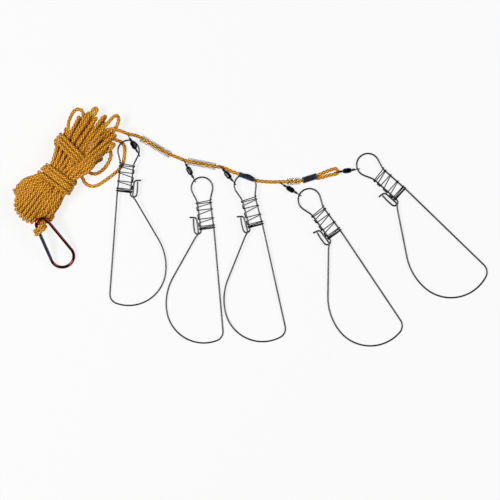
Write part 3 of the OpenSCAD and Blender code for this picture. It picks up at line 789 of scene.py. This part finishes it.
class STRINGER_OT_stage(bpy.types.Operator):
    """Adds the camera, the lamps and the pale floor"""
    bl_idname = "stringer.stage"
    bl_label = "Stage"

    def execute(self, context):
        stage = context.scene.stringer_stage
        data = bpy.data.cameras.new("Camera Above")
        data.lens = stage.lens
        data.sensor_width = SENSOR
        data.clip_end = 20
        camera = bpy.data.objects.new("Camera Above", data)
        context.collection.objects.link(camera)
        camera.location = (*VIEW_POINT, stage.width * stage.lens / SENSOR + 0.004)
        context.scene.camera = camera

        work = bmesh.new()
        bmesh.ops.create_grid(work, x_segments=2, y_segments=2, size=3.0)
        floor = bpy.data.objects.new("Floor", mesh_of("Floor", work))
        context.collection.objects.link(floor)
        floor.data.materials.append(self.floor_material())

        for name, place, size, power in (("Main Lamp", (-1.15, -0.15, 1.75), 0.9, stage.lamp),
                                         ("Fill Lamp", (1.3, 0.4, 1.5), 1.2, stage.lamp * 0.5)):
            light = bpy.data.lights.new(name, "AREA")
            light.shape = "DISK"
            light.size = size
            light.energy = power
            lamp = bpy.data.objects.new(name, light)
            context.collection.objects.link(lamp)
            lamp.location = place
            lamp.rotation_euler = (Vector((0, 0, 0)) - Vector(place)).to_track_quat("-Z", "Y").to_euler()

        world = bpy.data.worlds.new("Studio")
        context.scene.world = world
        world.use_nodes = True
        nodes, links = world.node_tree.nodes, world.node_tree.links
        back = nodes["Background"]
        place = nodes.new("ShaderNodeTexCoord")
        split = nodes.new("ShaderNodeSeparateXYZ")
        links.new(place.outputs["Generated"], split.inputs["Vector"])
        level = ranged(nodes, links, split.outputs["Z"], 0.0, 0.9, stage.sky * 0.55, stage.sky * 1.25)
        links.new(level, back.inputs["Strength"])
        context.scene.view_settings.view_transform = "Standard"
        return {"FINISHED"}

    def floor_material(self):
        material, nodes, links, shader = new_material("Pale Floor")
        place = nodes.new("ShaderNodeTexCoord")
        marks = use_group(nodes, wear_group(), Scale=2.0, Fine_Scale=300.0, Low=0.3, High=0.7)
        links.new(place.outputs["Object"], marks.inputs["Vector"])
        links.new(blended(nodes, links, marks.outputs["Mask"], (0.94, 0.94, 0.94), (0.96, 0.96, 0.96)),
                  shader.inputs["Base Color"])
        shader.inputs["Roughness"].default_value = 0.9
        glow = nodes.new("ShaderNodeEmission")
        ray = nodes.new("ShaderNodeLightPath")
        mix = nodes.new("ShaderNodeMixShader")
        links.new(worked(nodes, links, "MULTIPLY", ray.outputs["Is Camera Ray"], 0.8), mix.inputs["Fac"])
        links.new(shader.outputs["BSDF"], mix.inputs[1])
        links.new(glow.outputs["Emission"], mix.inputs[2])
        links.new(mix.outputs["Shader"], nodes["Material Output"].inputs["Surface"])
        return material


class STRINGER_OT_sleeves(bpy.types.Operator):
    """Adds the clear and the dark sleeves on the line"""
    bl_idname = "stringer.sleeves"
    bl_label = "Sleeves"

    def execute(self, context):
        sleeve = context.scene.stringer_sleeve
        for i, (start, end) in enumerate(CLEAR_SLEEVES):
            self.tube(f"Clear Sleeve {i + 1}", f"clear_sleeve_{i + 1}", start, end, sleeve.outer,
                      sleeve.outer - 2 * sleeve.wall, clear_material(), "clear_tube")
        for i, (start, end, outer) in enumerate(DARK_SLEEVES):
            self.tube(f"Dark Sleeve {i + 1}", f"dark_sleeve_{i + 1}", start, end, outer * MM, DARK_BORE,
                      dark_sleeve_material(), "dark_tube")
        return {"FINISHED"}

    def tube(self, name, node, start, end, outer, inner, material, slot):
        start, end = Vector(start) * MM, Vector(end) * MM
        length = (end - start).length
        work = bmesh.new()
        ring = bmesh.ops.create_circle(work, segments=40, radius=outer / 2)["verts"]
        rim = list({e for v in ring for e in v.link_edges})
        steps = 12
        for k in range(steps):
            made = bmesh.ops.extrude_edge_only(work, edges=rim)["geom"]
            rim = [g for g in made if isinstance(g, bmesh.types.BMEdge)]
            moved = [g for g in made if isinstance(g, bmesh.types.BMVert)]
            bmesh.ops.translate(work, vec=(0, 0, length / steps), verts=moved)
        for vert in work.verts:
            t = vert.co.z / length
            a = math.atan2(vert.co.y, vert.co.x)
            edge = max(0.0, 1 - min(t, 1 - t) * 14)
            swell = 1 + 0.012 * math.sin(9 * t + 2 * a) + 0.02 * edge
            vert.co.x *= swell
            vert.co.y *= swell
        bmesh.ops.recalc_face_normals(work, faces=work.faces)
        middles = [(f.normal, f.calc_center_median()) for f in work.faces]
        if sum(normal.dot(Vector((middle.x, middle.y, 0))) for normal, middle in middles) < 0:
            bmesh.ops.reverse_faces(work, faces=work.faces)
        bmesh.ops.solidify(work, geom=work.faces[:], thickness=(outer - inner) / 2)
        turn = Vector((0, 0, 1)).rotation_difference(end - start).to_matrix().to_4x4()
        bmesh.ops.transform(work, matrix=Matrix.Translation(start) @ turn, verts=work.verts)
        piece = finished(name.replace(" ", "_"), mesh_of(name, work), material, "line")
        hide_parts(node)


class STRINGER_OT_ropes(bpy.types.Operator):
    """Adds the hank with its loops and binding, the line with its end, and the bight on the carabiner"""
    bl_idname = "stringer.ropes"
    bl_label = "Ropes"

    def execute(self, context):
        line = smooth_route(LINE_ROUTE[:-1] + END_ROUTE, 8)
        rope_piece("Rope_Line", line, ["rope_line", "end_bight"])
        rope_piece("Loose_Loop", smooth_route(LOOSE_ROUTE, 8), ["loose_loop"])
        rope_piece("Side_Loop", smooth_route(SIDE_ROUTE, 8), ["side_loop"])
        binding = even_steps(smooth_route(binding_route(), 4), 3.0)
        route = even_steps(smooth_route(hank_route(), 6), 3.2)
        to_hank = HANK_PLACE.inverted()
        rod = carried(even_steps(rod_route(), 1.5), to_hank @ CLIP_PLACE)
        bight = carried(smooth_route(bight_route(), 4), GATE_LINE)
        held = np.vstack([binding, rod, carried(even_steps(bight, 2.0), to_hank)])
        route = settle(route, PITCH, held, 140, 0.012)
        hank = carried(smooth_route(route, 6), HANK_PLACE)
        rope_piece("Rope_Hank", hank, ["rope_hank"], step=0.64)
        wound = carried(smooth_route(binding, 6), HANK_PLACE)
        rope_piece("Hank_Binding", wound, ["hank_binding"])
        rope_piece("Clip_Bight", bight, ["clip_bight"])
        return {"FINISHED"}


def node_middle(node):
    """The mean of a CAD node's points, in millimetres."""
    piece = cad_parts[node]
    return np.mean([piece.matrix_world @ vert.co for vert in piece.data.vertices], axis=0) / MM


def shank_wrap(middle, axis):
    """A close coil of fine wire round the shank between a swivel's barrel and its eye."""
    side = np.cross(axis, (0, 0, 1))
    side /= np.linalg.norm(side)
    run = SHANK["end"] - SHANK["start"]
    turns = run / (SHANK["wrap"] * 1.06)
    t = np.linspace(0, 1, int(turns * 18))[:, None]
    angle = 2 * np.pi * turns * t
    radius = (SHANK["wire"] + SHANK["wrap"]) / 2 - 0.04
    return (middle + axis * (SHANK["start"] + run * t)
            + radius * (np.cos(angle) * side + np.sin(angle) * np.cross(axis, side)))


class STRINGER_OT_swivels(bpy.types.Operator):
    """Finishes the five barrel swivels and wraps their shanks with fine wire"""
    bl_idname = "stringer.swivels"
    bl_label = "Swivels"

    def execute(self, context):
        for i in range(1, 6):
            for node in ("rope_eye", "barrel", "snap_eye"):
                paint_node(f"{node}_{i}", nickel_material())
            middle = node_middle(f"barrel_{i}")
            for eye, body in (("rope_eye", "line"), ("snap_eye", f"snap_eye_{i}")):
                axis = node_middle(f"{eye}_{i}") - middle
                route = shank_wrap(middle, axis / np.linalg.norm(axis))
                name = f"{eye.title()}_Wrap_{i}"
                mesh = swept_tube(name, route * MM, SHANK["wrap"] * MM, 8)
                piece = finished(name, mesh, nickel_material(), body)
        return {"FINISHED"}


class STRINGER_OT_snaps(bpy.types.Operator):
    """Adds the five wire snaps with their wound ladders"""
    bl_idname = "stringer.snaps"
    bl_label = "Snaps"

    def execute(self, context):
        snap = context.scene.stringer_snap
        for i in range(5):
            place = snap_place(i)
            size = SNAP_SIZE[i]
            for name, route, width, node, material, slot in (
                    ("Snap_Wire", snap_route(), snap.wire, "snap_wire", wire_material(), "stainless_wire"),
                    ("Ladder_Winding", winding_route(), snap.winding, "ladder_winding", winding_material(),
                     "winding_wire")):
                points = rounded(even_steps(route, 0.5 if name == "Snap_Wire" else 0.3), 4)
                mesh = swept_tube(f"{name}_{i + 1}", carried(points, place) * MM, width * size, 12)
                piece = finished(f"{name}_{i + 1}", mesh, material, f"snap_{i + 1}")
                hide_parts(f"{node}_{i + 1}")
        return {"FINISHED"}


class STRINGER_OT_carabiner(bpy.types.Operator):
    """Adds the carabiner's bent rod and finishes its gate and rivet"""
    bl_idname = "stringer.carabiner"
    bl_label = "Carabiner"

    def execute(self, context):
        clip = context.scene.stringer_clip
        g = CLIP
        points = carried(even_steps(rod_route(), 0.6), CLIP_PLACE) * MM
        mesh = swept_tube("Carabiner_Rod", points, clip.rod, 24)
        work = bmesh.new()
        work.from_mesh(mesh)
        bmesh.ops.holes_fill(work, edges=[e for e in work.edges if e.is_boundary], sides=0)
        caps = [f for f in work.faces if len(f.verts) > 4]
        bmesh.ops.bevel(work, geom=[e for f in caps for e in f.edges], offset=0.00025, segments=3,
                        profile=0.5, affect="EDGES", material=-1)
        on_gate = Matrix.Scale(MM, 4) @ GATE_LINE
        for start, length, width in ((g["nose"] - g["sink"], g["tongue_len"] + g["sink"], g["rod"] * 0.7),
                                     (CLIP_PIVOT, g["back"] + g["sink"], g["rod"] * 0.8)):
            made = bmesh.ops.create_cube(work, size=1.0)["verts"]
            shape = (Matrix.Translation((start + length / 2, 0, 0))
                     @ Matrix.Diagonal((length, width, g["tongue"], 1)))
            bmesh.ops.transform(work, matrix=on_gate @ shape, verts=made)
            edges = list({e for v in made for e in v.link_edges})
            bmesh.ops.bevel(work, geom=edges, offset=0.00012, segments=2, profile=0.5, affect="EDGES",
                            material=-1)
        disc = bmesh.ops.create_cone(work, cap_ends=True, segments=40, radius1=g["rod"] / 2,
                                     radius2=g["rod"] / 2, depth=g["tongue"])["verts"]
        bmesh.ops.transform(work, matrix=on_gate @ Matrix.Translation((CLIP_PIVOT, 0, 0)), verts=disc)
        work.to_mesh(mesh)
        work.free()
        piece = finished("Carabiner_Rod", mesh, red_material(), "carabiner")
        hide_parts("carabiner_frame")
        for node in ("carabiner_gate", "gate_rivet"):
            paint_node(node, gate_material())
        return {"FINISHED"}


class STRINGER_PT_parts(bpy.types.Panel):
    """Lists the parts of the fish stringer"""
    bl_idname = "STRINGER_PT_parts"
    bl_label = "Fish Stringer"
    bl_space_type = "VIEW_3D"
    bl_region_type = "UI"
    bl_category = "Stringer"

    def draw(self, context):
        for operator in OPERATORS:
            self.layout.operator(operator.bl_idname)
        for group, _ in SETTINGS:
            box = self.layout.box()
            holder = getattr(context.scene, group)
            for prop in holder.bl_rna.properties:
                if not prop.is_readonly and prop.identifier not in {"name", "rna_type"}:
                    box.prop(holder, prop.identifier)


SETTINGS = [("stringer_rope", RopeSettings), ("stringer_snap", SnapSettings), ("stringer_clip", ClipSettings),
            ("stringer_sleeve", SleeveSettings), ("stringer_swivel", SwivelSettings),
            ("stringer_stage", StageSettings)]
OPERATORS = [STRINGER_OT_stage, STRINGER_OT_sleeves, STRINGER_OT_ropes, STRINGER_OT_swivels,
             STRINGER_OT_snaps, STRINGER_OT_carabiner]


def register():
    for name, group in SETTINGS:
        bpy.utils.register_class(group)
        setattr(bpy.types.Scene, name, PointerProperty(type=group))
    for cls in [*OPERATORS, STRINGER_PT_parts]:
        bpy.utils.register_class(cls)


def unregister():
    for cls in reversed([*OPERATORS, STRINGER_PT_parts]):
        bpy.utils.unregister_class(cls)
    for name, group in reversed(SETTINGS):
        delattr(bpy.types.Scene, name)
        bpy.utils.unregister_class(group)


def main():
    register()
    for operator in OPERATORS:
        group, name = operator.bl_idname.split(".")
        getattr(getattr(bpy.ops, group), name)()


if __name__ == "__main__":
    main()
